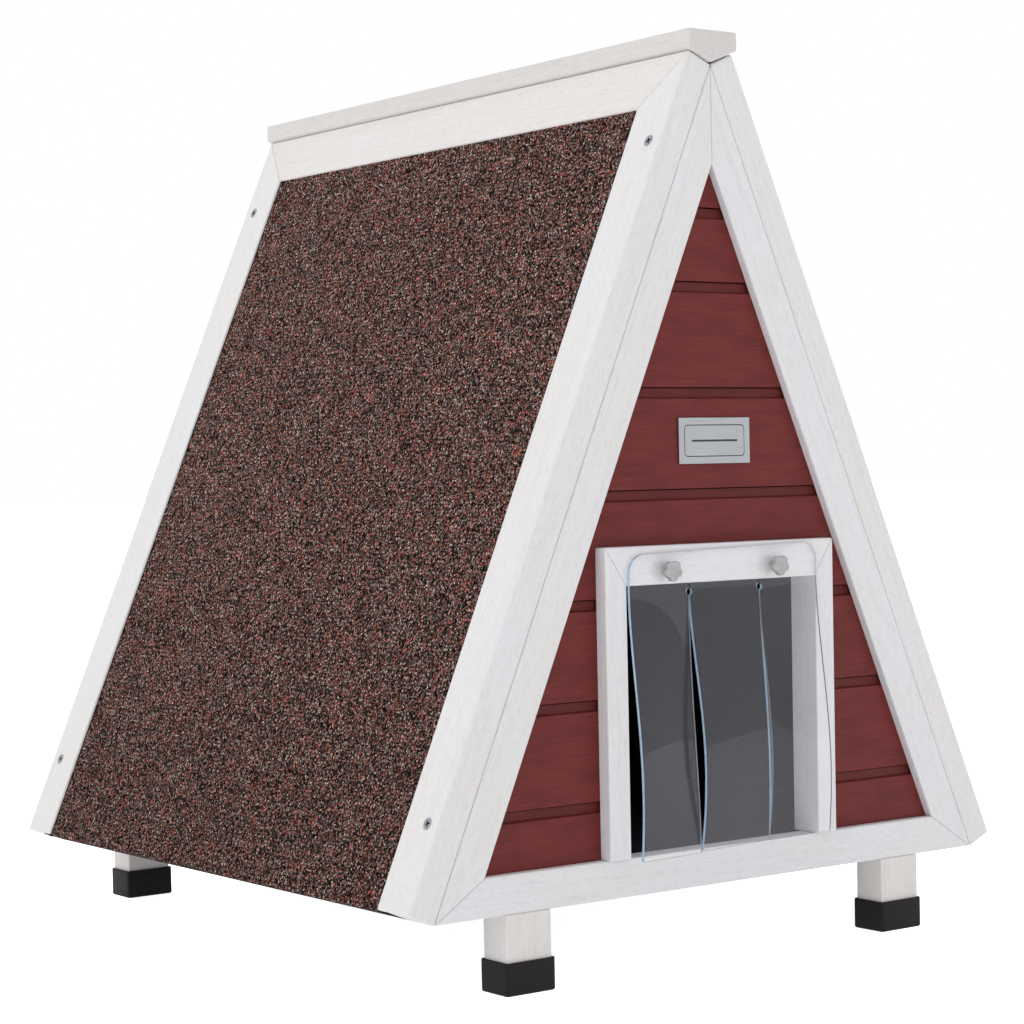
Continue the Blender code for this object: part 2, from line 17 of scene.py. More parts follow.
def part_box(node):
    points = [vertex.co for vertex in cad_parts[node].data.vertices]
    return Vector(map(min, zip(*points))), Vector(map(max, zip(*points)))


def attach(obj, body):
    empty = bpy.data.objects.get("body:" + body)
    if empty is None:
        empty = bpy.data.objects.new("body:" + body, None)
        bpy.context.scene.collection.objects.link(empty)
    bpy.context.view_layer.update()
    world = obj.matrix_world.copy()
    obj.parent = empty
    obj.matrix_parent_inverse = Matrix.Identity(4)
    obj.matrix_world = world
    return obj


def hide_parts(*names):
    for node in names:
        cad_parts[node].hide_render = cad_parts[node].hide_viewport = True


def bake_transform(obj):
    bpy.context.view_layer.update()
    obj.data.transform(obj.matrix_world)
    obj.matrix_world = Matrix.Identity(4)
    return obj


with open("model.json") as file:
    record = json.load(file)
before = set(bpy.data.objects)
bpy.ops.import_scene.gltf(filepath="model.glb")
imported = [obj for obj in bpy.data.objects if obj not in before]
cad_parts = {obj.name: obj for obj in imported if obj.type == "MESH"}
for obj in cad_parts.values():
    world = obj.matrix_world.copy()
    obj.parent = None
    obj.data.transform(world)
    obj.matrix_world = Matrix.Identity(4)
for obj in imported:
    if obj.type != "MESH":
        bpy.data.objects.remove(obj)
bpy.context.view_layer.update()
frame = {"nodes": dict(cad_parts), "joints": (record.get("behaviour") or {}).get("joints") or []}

bl_info = {
    "name": "Rabbit house",
    "version": (1, 0, 0),
    "blender": (4, 5, 0),
    "location": "View3D > Sidebar > Rabbit house",
    "description": "Gives an A-frame rabbit house its timber, felt, paint and clear flap",
    "category": "Object",
}

MM = 0.001
NODES = frame["nodes"]
SIDES = ("left", "right")
ENDS = ("front", "rear")
STRIPS = ("left", "middle", "right")

# Roof pitch, and the places that the frame's solids give
PITCH = math.radians(66.5)
MID_Y = sum(corner.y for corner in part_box("roof_left_felt")) / 2
GABLE_BACK_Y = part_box("gable_front_bottom_rail")[1].y
BOARD_FACE_Y, BOARD_BACK_Y = (corner.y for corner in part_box("front_board_5"))
HEAD_LOW_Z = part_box("door_frame_head")[0].z
ALONG_X = (0, 0, 0)
ALONG_Y = (0, 0, math.radians(90))
ALONG_Z = (0, math.radians(90), 0)
ALONG_LEFT_SLOPE = (0, -PITCH, 0)
ALONG_RIGHT_SLOPE = (0, PITCH, 0)

# Less than the distance between any two separate faces
HAIR = 0.2 * MM


# ------------ sizes and colours

def length(label, about, default):
    return FloatProperty(name=label, description=about, default=default, unit="LENGTH", precision=5)


def colour(label, about, default):
    return FloatVectorProperty(name=label, description=about, default=default, size=3, min=0, max=1,
                               subtype="COLOR")


def share(label, about, default):
    return FloatProperty(name=label, description=about, default=default, min=0, max=1, subtype="FACTOR")


class HouseSizes(bpy.types.PropertyGroup):
    """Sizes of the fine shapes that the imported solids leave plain."""

    joint_swell: length("Joint swell", "How far the wash fills the joints between members", 0.18 * MM)
    granule_pitch: length("Granule pitch", "Spacing of the felt's surface points", 1.9 * MM)
    granule_relief: length("Granule relief", "How far the felt's surface is pitted", 0.55 * MM)
    felt_fray: length("Felt fray", "How far the felt's lower edge wanders", 3.0 * MM)
    felt_rise: length("Felt rise", "How far the granules stand over the felt's solid", 2.6 * MM)
    flap_tilt: FloatProperty(name="Flap tilt", description="How far the flap hangs out of level",
                             default=math.radians(1.4), subtype="ANGLE")
    flap_corner: length("Flap corner", "Radius of the flap's upper corners", 12 * MM)
    slit_hole: length("Slit hole", "Radius of the hole that ends each slit", 2.4 * MM)
    thumb_head: length("Thumbscrew head", "Mean radius of the flower-shaped head", 6.1 * MM)
    thumb_lobe: length("Thumbscrew lobe", "How far each lobe stands out", 0.85 * MM)
    thumb_lobes: IntProperty(name="Thumbscrew lobes", description="Lobes round the head", default=5,
                             min=3, max=12)
    plate_border: length("Plate border", "Distance of the engraved line from the plate's edge", 4.6 * MM)
    cap_corner: length("Leg cap corner", "Radius of a leg cap's upright corners", 2.6 * MM)


class HouseColours(bpy.types.PropertyGroup):
    """Colours and gloss of the house's finishes, in linear light."""

    wash: colour("White wash", "Washed timber", (0.70, 0.69, 0.685))
    wash_cool: colour("Cool wash", "Washed timber where the wash lies thick", (0.70, 0.695, 0.735))
    wash_warm: colour("Warm wash", "Washed timber where the wood warms it", (0.69, 0.665, 0.65))
    wash_grain: colour("Grain", "Timber that shows through the wash", (0.49, 0.46, 0.44))
    red: colour("Red paint", "Paint of the boards", (0.146, 0.021, 0.020))
    # Dark red is both the open grain and, darker still, the painted shade in the boards' grooves
    dark_red_and_groove_shade: colour("Dark red", "Paint where the grain is open", (0.086, 0.012, 0.011))
    # Painted shade: the near-black that every surface inside the closed house is given, for the shade in
    # there
    stain: colour("Dark stain", "Inside of the house", (0.016, 0.014, 0.016))
    # The darkest granules' colour also serves as the felt's painted shade
    dark_granules_and_shade: colour("Dark granules", "Darkest felt granules", (0.0025, 0.002, 0.002))
    granule_brown: colour("Brown granules", "Most felt granules", (0.39, 0.25, 0.22))
    granule_red: colour("Red granules", "Brick-red felt granules", (0.60, 0.15, 0.10))
    granule_grey: colour("Grey granules", "Pale felt granules", (0.70, 0.58, 0.52))
    clear: colour("Clear sheet", "Tint of the flap", (0.99, 0.99, 1.0))
    # Painted light and shade in the flap's cut edges: bluish light where they face left, towards the key
    # light, grey shade elsewhere
    cut_edge: colour("Cut edge", "Light in the flap's near cut edges", (0.40, 0.56, 0.72))
    far_edge_shade: colour("Far cut edge", "The flap's other cut edges", (0.30, 0.33, 0.37))
    moulded: colour("Clear moulding", "Thumbscrews", (0.48, 0.48, 0.48))
    zinc: colour("Zinc", "Screws", (0.38, 0.41, 0.44))
    plate: colour("Nameplate", "Brushed plate", (0.42, 0.435, 0.45))
    ink: colour("Ink", "Engraved lines on the plate", (0.035, 0.04, 0.045))
    rubber: colour("Leg cap", "Moulded caps", (0.0105, 0.0078, 0.0112))
    gloss: share("Paint gloss", "Gloss of the red paint", 0.20)


class HouseStage(bpy.types.PropertyGroup):
    """Floor, light and camera."""

    sky: FloatProperty(name="Surround", description="Brightness of the white surround", default=1.0, min=0)
    front_dim: FloatProperty(name="Front dimming", description="How much dimmer the surround is in front",
                             default=0.27, min=0, max=1)
    key: FloatProperty(name="Key light", description="Power of the large light over the left roof",
                       default=15.0, min=0, unit="POWER")
    eye: FloatVectorProperty(name="Eye", description="Where the camera stands", size=3,
                             default=(-1.1114, -1.5385, 0.3323), subtype="TRANSLATION")
    yaw: FloatProperty(name="Yaw", description="Turn of the camera from +Y towards +X",
                       default=math.radians(36.293), subtype="ANGLE")
    pitch: FloatProperty(name="Pitch", description="Tilt of the camera above the level",
                         default=math.radians(-2.963), subtype="ANGLE")
    roll: FloatProperty(name="Roll", description="Turn of the camera about its own line of sight",
                        default=math.radians(-1.223), subtype="ANGLE")
    lens: FloatProperty(name="Lens", description="Focal length on a 36 mm sensor, in mm", default=89.11)
    rise: FloatProperty(name="Rise", description="Vertical lens shift", default=0.0859)


# ------------ modelling helpers

def deselect():
    bpy.ops.object.select_all(action="DESELECT")


def pick(piece):
    """Make a piece the only selected and the active one."""
    deselect()
    piece.select_set(True)
    bpy.context.view_layer.objects.active = piece


@contextmanager
def editing(piece):
    """Edit mode on one piece, with everything in it selected."""
    pick(piece)
    bpy.ops.object.mode_set(mode="EDIT")
    bpy.ops.mesh.select_all(action="SELECT")
    yield
    bpy.ops.object.mode_set(mode="OBJECT")


def choose(piece, kind, test):
    """In edit mode, select only the vertices, edges or faces that pass a test."""
    bpy.ops.mesh.select_mode(type=kind)
    bpy.ops.mesh.select_all(action="DESELECT")
    shape = bmesh.from_edit_mesh(piece.data)
    shape.normal_update()
    for item in {"VERT": shape.verts, "EDGE": shape.edges, "FACE": shape.faces}[kind]:
        item.select_set(test(item))
    shape.select_flush_mode()
    bmesh.update_edit_mesh(piece.data)


def middle(edge):
    return (edge.verts[0].co + edge.verts[1].co) / 2


def named(name):
    """The object that an operator has just made, under its own name."""
    piece = bpy.context.object
    piece.name = name
    piece.data.name = name
    return piece


def block(name, low, high):
    """A box between two corners, ready to be shaped."""
    low, high = Vector(low), Vector(high)
    deselect()
    bpy.ops.mesh.primitive_cube_add(size=1)
    piece = named(name)
    with editing(piece):
        bpy.ops.transform.resize(value=high - low)
        bpy.ops.transform.translate(value=(low + high) / 2)
    return piece


def rod(name, radius, start, end, sides=32):
    """A round bar along Y, ready to be shaped or to cut with."""
    start, end = Vector(start), Vector(end)
    deselect()
    bpy.ops.mesh.primitive_cylinder_add(vertices=sides, radius=radius, depth=(end - start).length,
                                        location=(start + end) / 2, rotation=(math.radians(90), 0, 0))
    piece = named(name)
    settle(piece)
    return piece


def settle(piece, place=None):
    """Put a piece's place and turn into its mesh."""
    if place is not None:
        piece.matrix_world = place
    pick(piece)
    bpy.ops.object.transform_apply(location=True, rotation=True, scale=True)


def apply(piece):
    """Apply a piece's modifiers, first to last."""
    pick(piece)
    for modifier in list(piece.modifiers):
        bpy.ops.object.modifier_apply(modifier=modifier.name)


def combine(piece, tool, operation="DIFFERENCE"):
    """Cut a piece by a tool or join them, and remove the tool."""
    change = piece.modifiers.new("combine", "BOOLEAN")
    change.operation = operation
    change.object = tool
    apply(piece)
    bpy.data.objects.remove(tool)


def round_edges(piece, width, segments=2, angle=30):
    bevel = piece.modifiers.new("arris", "BEVEL")
    bevel.width = width
    bevel.segments = segments
    bevel.limit_method = "ANGLE"
    bevel.angle_limit = math.radians(angle)
    bevel.harden_normals = False
    apply(piece)


def smooth(piece, angle=30):
    pick(piece)
    bpy.ops.object.shade_smooth_by_angle(angle=math.radians(angle))


def outward(piece):
    with editing(piece):
        bpy.ops.mesh.normals_make_consistent(inside=False)


def copy_of(pattern, name, place):
    """A copy of a finished pattern with a mesh of its own, put in its place."""
    piece = pattern.copy()
    piece.data = pattern.data.copy()
    piece.name = piece.data.name = name
    bpy.context.scene.collection.objects.link(piece)
    settle(piece, place)
    return piece


def paint(piece, *materials):
    piece.data.materials.clear()
    for material in materials:
        piece.data.materials.append(material)


def close_joints(piece, swell):
    """Swell a solid by a hair, so that its painted joints read as closed."""
    weld = piece.modifiers.new("weld", "WELD")
    weld.merge_threshold = 0.01 * MM
    push = piece.modifiers.new("swell", "DISPLACE")
    push.strength = swell
    push.mid_level = 0


def panel_axes(side):
    """Axes of a roof panel: X up the slope, Z out of the roof."""
    turn = 0 if side == "left" else math.pi
    return Matrix.Translation((0, MID_Y, 0)) @ Euler((0, -PITCH, turn)).to_matrix().to_4x4()


def extent(node, axes):
    """Lowest and highest corner of a node's solid, in other axes."""
    to_local = axes.inverted()
    points = [to_local @ vertex.co for vertex in NODES[node].data.vertices]
    return (Vector(min(p[i] for p in points) for i in range(3)),
            Vector(max(p[i] for p in points) for i in range(3)))


# ------------ materials

def times(factor, tint):
    """A colour made darker or paler, but never past white."""
    return [min(1.0, factor * value) for value in tint]


class Finish:
    """A material that is being made."""

    def __init__(self, name, roughness, specular=0.5, **constants):
        self.material = bpy.data.materials.new(name)
        self.material.use_nodes = True
        self.tree = self.material.node_tree
        self.tints = bpy.context.scene.house_colours
        self.shader = self.tree.nodes["Principled BSDF"]
        self.set("Roughness", roughness)
        self.set("Specular IOR Level", specular)
        for socket, value in constants.items():
            self.set(socket.replace("_", " "), value)
        self.place = self.tree.nodes.new("ShaderNodeTexCoord").outputs["Object"]

    def set(self, socket, value):
        """Give one of the shader's sockets a constant or the output of a node."""
        self.feed(self.shader.inputs[socket], value)

    def feed(self, socket, value):
        if isinstance(value, bpy.types.NodeSocket):
            self.tree.links.new(value, socket)
        elif socket.type == "RGBA" and len(value) == 3:
            socket.default_value = (*value, 1)
        else:
            socket.default_value = value

    def node(self, kind, inputs, output=0, **settings):
        """Add a node, feed its inputs and return one output."""
        node = self.tree.nodes.new(kind)
        for key, value in settings.items():
            setattr(node, key, value)
        for key, value in inputs.items():
            self.feed(node.inputs[key], value)
        return node.outputs[output]

    def math(self, operation, *values):
        return self.node("ShaderNodeMath", dict(enumerate(values)), operation=operation)

    def stretched(self, pitch, turn=(0, 0, 0), start=(0, 0, 0)):
        """Object coordinates turned to an axis and counted in steps of a pitch along each."""
        turned = self.node("ShaderNodeMapping", {"Vector": self.place, "Rotation": turn},
                           vector_type="TEXTURE")
        return self.node("ShaderNodeMapping", {"Vector": turned, "Scale": [1 / p for p in pitch],
                                               "Location": start})

    def noise(self, vector, detail=2.0, roughness=0.5, distortion=0.0):
        return self.node("ShaderNodeTexNoise", {"Vector": vector, "Scale": 1.0, "Detail": detail,
                                                "Roughness": roughness, "Distortion": distortion})

    def band(self, value, low, high):
        """0 below low, 1 above high, and a smooth step between."""
        return self.node("ShaderNodeMapRange", {"Value": value, "From Min": low, "From Max": high},
                         interpolation_type="SMOOTHSTEP")

    def mix(self, factor, first, second, blend="MIX"):
        node = self.tree.nodes.new("ShaderNodeMix")
        node.data_type = "RGBA"
        node.blend_type = blend
        self.feed(node.inputs[0], factor)
        self.feed(node.inputs[6], first)
        self.feed(node.inputs[7], second)
        return node.outputs[2]

    def cover(self, tone, tint, mask, amount):
        """Lay a colour over another where a mask says, by no more than an amount."""
        return self.mix(self.math("MULTIPLY", mask, amount), tone, tint)

    def along(self, axis):
        """One of the object coordinates."""
        return self.node("ShaderNodeSeparateXYZ", {"Vector": self.place}, "XYZ".index(axis))

    def from_middle(self):
        """Distance from the upright plane halfway between the gables."""
        return self.math("ABSOLUTE", self.math("SUBTRACT", self.along("Y"), MID_Y))

    def speckle(self, pitch, noise, tint, factor, spread, rough):
        """Vary the colour and the roughness together by one fine noise."""
        speck = self.noise(self.stretched((pitch, pitch, pitch)), *noise)
        self.set("Base Color", self.mix(self.band(speck, *spread), tint, times(factor, tint)))
        self.set("Roughness", self.range(speck, *rough))
        return speck

    def bump(self, height, depth, strength=1.0):
        self.set("Normal", self.node("ShaderNodeBump", {"Height": height, "Distance": depth,
                                                        "Strength": strength}))

    def range(self, value, low, high):
        """Low where a value is 0, and high where it is 1."""
        return self.node("ShaderNodeMapRange", {"Value": value, "To Min": low, "To Max": high})


def paint_inside_shade(finish, coloured, half_length):
    """Turn a colour to the near-black painted shade wherever a surface faces the inside of the house."""
    inner_plane = extent("roof_left_front_stile", panel_axes("left"))[0].z + HAIR
    across = finish.math("MULTIPLY", finish.math("ABSOLUTE", finish.along("X")), math.sin(PITCH))
    height = finish.math("MULTIPLY", finish.along("Z"), math.cos(PITCH))
    under_roof = finish.math("LESS_THAN", finish.math("ADD", across, height), inner_plane)
    between = finish.math("LESS_THAN", finish.from_middle(), half_length + HAIR)
    inside = finish.math("MULTIPLY", under_roof, between)
    return finish.mix(inside, coloured, finish.tints.stain)


def red_behind_boards(finish, coloured):
    """Carry the boards' paint over the door frame's outer edges, behind the boards' faces."""
    outer_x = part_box("door_frame_right")[1].x - 0.3 * MM
    outer = finish.math("GREATER_THAN", finish.math("ABSOLUTE", finish.along("X")), outer_x)
    behind = finish.math("GREATER_THAN", finish.along("Y"), BOARD_FACE_Y)
    return finish.cover(coloured, finish.tints.dark_red_and_groove_shade, outer, behind)


def washed_timber(name, turn, start, wash, shade=1.0, stained=True, daubed=False):
    """White-washed fir with the grain along one axis."""
    f = Finish(name, 0.62, 0.32)
    fibres = f.noise(f.stretched((0.035, 0.0011, 0.0011), turn, start), 4, 0.65)
    strokes = f.noise(f.stretched((0.0065, 0.0024, 0.0024), turn, start), 4, 0.65)
    pores = f.noise(f.stretched((0.007, 0.0007, 0.0007), turn, start), 2, 0.5)
    rings = f.noise(f.stretched((0.55, 0.020, 0.020), turn, start), 1.5, 0.4)
    late_wood = f.band(f.math("PINGPONG", f.math("MULTIPLY", rings, 9.0), 0.5), 0.30, 0.5)
    cloud = f.noise(f.stretched((0.07, 0.03, 0.03), turn, start), 3, 0.6)
    thin = times(shade, getattr(f.tints, wash))
    thick = times(shade, f.tints.wash_cool if wash == "wash" else f.tints.wash)
    tone = f.cover(thin, thick, f.band(cloud, 0.40, 0.68), 0.7)
    for mask, amount in ((f.band(fibres, 0.44, 0.78), 0.24), (f.band(strokes, 0.46, 0.80), 0.34),
                         (f.band(pores, 0.60, 0.74), 0.24), (late_wood, 0.08)):
        tone = f.cover(tone, times(shade, f.tints.wash_grain), mask, amount)
    if stained:
        # Painted shade on the faces that look into the house
        tone = paint_inside_shade(f, tone, MID_Y - GABLE_BACK_Y)
    if daubed:
        tone = red_behind_boards(f, tone)
    f.set("Base Color", tone)
    f.set("Roughness", f.range(fibres, 0.52, 0.70))
    relief = f.math("ADD", f.math("MULTIPLY", fibres, 0.7), f.math("MULTIPLY", pores, -0.3))
    f.bump(relief, 0.5 * MM, 0.6)
    return f.material


def red_paint(name):
    """Satin paint over boards whose grain runs along X, with painted shade in the grooves."""
    tints = bpy.context.scene.house_colours
    f = Finish(name, 0.45, tints.gloss)
    grain = f.noise(f.stretched((0.030, 0.0014, 0.0014)), 4, 0.65)
    figure = f.noise(f.stretched((0.35, 0.022, 0.022)), 2, 0.5, 0.4)
    rings = f.math("PINGPONG", f.math("MULTIPLY", figure, 9.0), 0.5)
    cloud = f.noise(f.stretched((0.035, 0.014, 0.014)), 4, 0.6)
    tone = tints.red
    for mask, amount in ((f.band(grain, 0.42, 0.75), 0.5), (f.band(rings, 0.3, 0.5), 0.15),
                         (f.band(cloud, 0.42, 0.66), 0.45)):
        tone = f.cover(tone, tints.dark_red_and_groove_shade, mask, amount)
    # Painted shade: darker wherever a surface lies more than 1 mm behind the boards' faces, as in the
    # grooves
    groove_shade = f.math("LESS_THAN", f.from_middle(), MID_Y - BOARD_FACE_Y - 1 * MM)
    tone = f.cover(tone, times(0.75, tints.dark_red_and_groove_shade), groove_shade, 0.32)
    # Painted shade on the boards' backs, inside the house
    f.set("Base Color", paint_inside_shade(f, tone, MID_Y - BOARD_BACK_Y))
    f.set("Roughness", f.range(grain, 0.42, 0.60))
    f.bump(f.math("ADD", f.math("MULTIPLY", grain, 0.6), f.math("MULTIPLY", rings, 0.4)), 0.4 * MM, 0.6)
    return f.material


def shaded_ply(name, turn):
    """Thin plywood coloured near-black: painted shade for the closed inside of the house."""
    f = Finish(name, 0.75, 0.2)
    grain = f.noise(f.stretched((0.12, 0.003, 0.003), turn), 4, 0.6)
    cloud = f.noise(f.stretched((0.2, 0.05, 0.05), turn), 3, 0.5)
    tone = f.mix(f.band(grain, 0.35, 0.7), f.tints.stain, times(0.55, f.tints.stain))
    f.set("Base Color", f.cover(tone, times(1.5, f.tints.stain), f.band(cloud, 0.4, 0.8), 0.5))
    f.set("Roughness", f.range(grain, 0.65, 0.85))
    f.bump(grain, 0.3 * MM, 0.4)
    return f.material


def roof_felt(name):
    """Mineral felt: bitumen under a dense cover of stone granules, dark, brown, red and grey, with painted
    shade between the granules, towards the eaves and along the stiles.
    """
    f = Finish(name, 0.85, 0.02)
    cells = f.tree.nodes.new("ShaderNodeTexVoronoi")
    f.feed(cells.inputs["Vector"], f.stretched((1.2 * MM, 1.2 * MM, 1.2 * MM)))
    f.feed(cells.inputs["Scale"], 1.0)
    split = f.tree.nodes.new("ShaderNodeSeparateColor")
    f.feed(split.inputs[0], cells.outputs["Color"])
    light, kind, other = split.outputs
    patches = f.noise(f.stretched((9 * MM, 9 * MM, 9 * MM)), 3, 0.6)
    drift = f.noise(f.stretched((0.09, 0.09, 0.09)), 2, 0.5)
    lit = f.math("POWER", light, 2.7)
    tone = f.mix(lit, f.tints.dark_granules_and_shade, f.tints.granule_brown)
    red_share = f.math("ADD", f.math("MULTIPLY", f.band(patches, 0.42, 0.70), 0.32), 0.10)
    is_red = f.math("LESS_THAN", kind, red_share)
    tone = f.cover(tone, f.tints.granule_red, is_red, f.range(lit, 0.22, 1.0))
    is_grey = f.math("GREATER_THAN", other, f.range(drift, 0.76, 0.90))
    tone = f.cover(tone, f.tints.granule_grey, is_grey, f.range(lit, 0.05, 1.0))
    # Dark bitumen between the granules, and painted shade in those crevices
    bitumen_and_crevice_shade = f.band(cells.outputs["Distance"], 0.45, 0.75)
    # Painted shade: darker towards the eaves
    eaves_shade = f.band(f.along("Z"), 0.34, 0.06)
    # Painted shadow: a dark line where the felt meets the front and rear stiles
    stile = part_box("roof_left_rear_stile")[0].y - MID_Y
    border = f.band(f.from_middle(), stile - 2.0 * MM, stile - 1.0 * MM)
    for mask, amount in ((bitumen_and_crevice_shade, 0.9), (eaves_shade, 0.14), (border, 1.0)):
        tone = f.cover(tone, f.tints.dark_granules_and_shade, mask, amount)
    f.set("Base Color", tone)
    f.set("Roughness", f.range(kind, 0.6, 0.95))
    dome = f.math("SUBTRACT", 1.0, f.math("MINIMUM", cells.outputs["Distance"], 1.0))
    f.bump(f.math("ADD", dome, f.math("MULTIPLY", other, 0.5)), 0.8 * MM, 1.0)
    return f.material


def let_light_through(f, colour_through):
    """Clear plastic shades nothing: rays from lamps pass straight through it."""
    output = f.tree.nodes["Material Output"]
    path = f.tree.nodes.new("ShaderNodeLightPath")
    through = f.tree.nodes.new("ShaderNodeBsdfTransparent")
    f.feed(through.inputs["Color"], colour_through)
    mix = f.tree.nodes.new("ShaderNodeMixShader")
    indirect = f.math("MAXIMUM", path.outputs["Is Shadow Ray"], path.outputs["Is Diffuse Ray"])
    f.feed(mix.inputs[0], indirect)
    f.tree.links.new(f.shader.outputs[0], mix.inputs[1])
    f.tree.links.new(through.outputs[0], mix.inputs[2])
    f.tree.links.new(mix.outputs[0], output.inputs["Surface"])


def clear_sheet(name):
    """Clear soft sheet with a faint haze and light scuffs."""
    f = Finish(name, 0.02, 0.5, Transmission_Weight=1.0, IOR=1.53, Specular_Tint=(0.68, 0.68, 0.78))
    haze = f.noise(f.stretched((0.05, 0.05, 0.03)), 3, 0.6)
    scuffs = f.noise(f.stretched((0.004, 0.004, 0.05)), 3, 0.6)
    f.set("Base Color", f.mix(f.band(haze, 0.45, 0.75), f.tints.clear, times(0.97, f.tints.clear)))
    f.set("Roughness", f.range(f.band(scuffs, 0.5, 0.8), 0.0, 0.01))
    let_light_through(f, (1.0, 1.0, 1.0))
    return f.material


def cut_edge(name, tint, through):
    """The sawn rim of the clear sheet, with the light it gathers painted into its colour."""
    f = Finish(name, 0.30, 0.5, Transmission_Weight=through, IOR=1.53)
    f.speckle(1.5 * MM, (2, 0.5), tint, 1.35, (0.35, 0.65), (0.2, 0.45))
    return f.material


def clear_moulding(name):
    """Cloudy clear plastic of the thumbscrews."""
    f = Finish(name, 0.25, 0.5, Transmission_Weight=0.15, IOR=1.46)
    cloudy = f.speckle(3 * MM, (3, 0.6), f.tints.moulded, 0.80, (0.35, 0.7), (0.16, 0.34))
    f.bump(cloudy, 0.3 * MM, 0.3)
    return f.material


def zinc_plate(name):
    f = Finish(name, 0.3, 0.5, Metallic=1.0)
    spangle = f.speckle(0.9 * MM, (3, 0.6), f.tints.zinc, 0.62, (0.4, 0.75), (0.22, 0.42))
    f.bump(spangle, 0.05 * MM, 0.5)
    return f.material


def brushed_plate(name):
    f = Finish(name, 0.36, 0.5, Metallic=1.0)
    strokes = f.noise(f.stretched((0.020, 0.0002, 0.0002)), 3, 0.6)
    cloud = f.noise(f.stretched((0.02, 0.02, 0.012)), 2, 0.5)
    dull = times(0.86, f.tints.plate)
    tone = f.mix(f.band(strokes, 0.35, 0.65), dull, times(1.07, f.tints.plate))
    f.set("Base Color", f.cover(tone, dull, f.band(cloud, 0.4, 0.7), 0.3))
    f.set("Roughness", f.range(strokes, 0.30, 0.46))
    f.bump(strokes, 0.03 * MM, 0.4)
    return f.material


def engraving_ink(name):
    f = Finish(name, 0.5, 0.3)
    f.speckle(0.6 * MM, (2, 0.5), f.tints.ink, 2.2, (0.5, 0.8), (0.45, 0.6))
    return f.material


def moulded_rubber(name):
    f = Finish(name, 0.5, 0.18)
    stipple = f.noise(f.stretched((0.0007, 0.0007, 0.0007)), 2, 0.5)
    scuff = f.noise(f.stretched((0.02, 0.02, 0.006)), 4, 0.65)
    f.set("Base Color", f.cover(f.tints.rubber, times(2.6, f.tints.rubber), f.band(scuff, 0.5, 0.8), 0.4))
    f.set("Roughness", f.range(scuff, 0.42, 0.62))
    f.bump(stipple, 0.12 * MM, 0.5)
    return f.material


# ------------ operators: timber

class HOUSE_OT_timber(bpy.types.Operator):
    """Give every white-washed member its own run of grain"""

    bl_idname = "rabbit_house.timber"
    bl_label = "Washed timber"

    def execute(self, context):
        runs = {"ridge_cap": ALONG_Y, "door_frame_head": ALONG_X}
        for side in SIDES:
            slope = ALONG_LEFT_SLOPE if side == "left" else ALONG_RIGHT_SLOPE
            other = ALONG_RIGHT_SLOPE if side == "left" else ALONG_LEFT_SLOPE
            runs[f"roof_{side}_top_rail"] = ALONG_Y
            runs[f"door_frame_{side}"] = ALONG_Z
            runs[f"gable_front_{side}_stile"] = slope
            runs[f"gable_rear_{side}_stile"] = other
            for end in ENDS:
                runs[f"roof_{side}_{end}_stile"] = slope
                runs[f"leg_{end}_{side}"] = ALONG_Z
        for end in ENDS:
            runs[f"gable_{end}_bottom_rail"] = ALONG_X
        for number, (node, run) in enumerate(sorted(runs.items())):
            warm = node.startswith(("leg", "ridge")) or node.endswith("top_rail")
            cool = node.startswith("door") or node.endswith(("bottom_rail", "right_stile"))
            wash = "wash_warm" if warm else "wash_cool" if cool else "wash"
            timber = washed_timber("washed_" + node, run, (0.37 * number, 1.3 * number, 2.1 * number), wash,
                                   shade=0.88 if node == "ridge_cap" else 1.0,
                                   stained=not node.startswith(("leg", "door", "ridge")),
                                   daubed=node.startswith("door"))
            paint(NODES[node], timber)
            close_joints(NODES[node], context.scene.house_sizes.joint_swell)
        return {"FINISHED"}


class HOUSE_OT_boards(bpy.types.Operator):
    """Paint the shiplap boards red, with painted shade on their backs and in their grooves"""

    bl_idname = "rabbit_house.boards"
    bl_label = "Painted boards"

    def execute(self, context):
        paint_coat = red_paint("red_paint")
        for node in NODES:
            if "_board_" in node:
                paint(NODES[node], paint_coat)
        return {"FINISHED"}


class HOUSE_OT_inside(bpy.types.Operator):
    """Give the floor and the roof decks a near-black colour, painted shade for the inside of the house"""

    bl_idname = "rabbit_house.inside"
    # The plywood's near-black colour is painted shade for the inside of the house
    bl_label = "Stained plywood"

    def execute(self, context):
        paint(NODES["floor_panel"], shaded_ply("stained_floor", ALONG_Y))
        for side, run in zip(SIDES, (ALONG_LEFT_SLOPE, ALONG_RIGHT_SLOPE)):
            paint(NODES[f"roof_{side}_deck"], shaded_ply(f"stained_deck_{side}", run))
        return {"FINISHED"}


# ------------ operators: roof

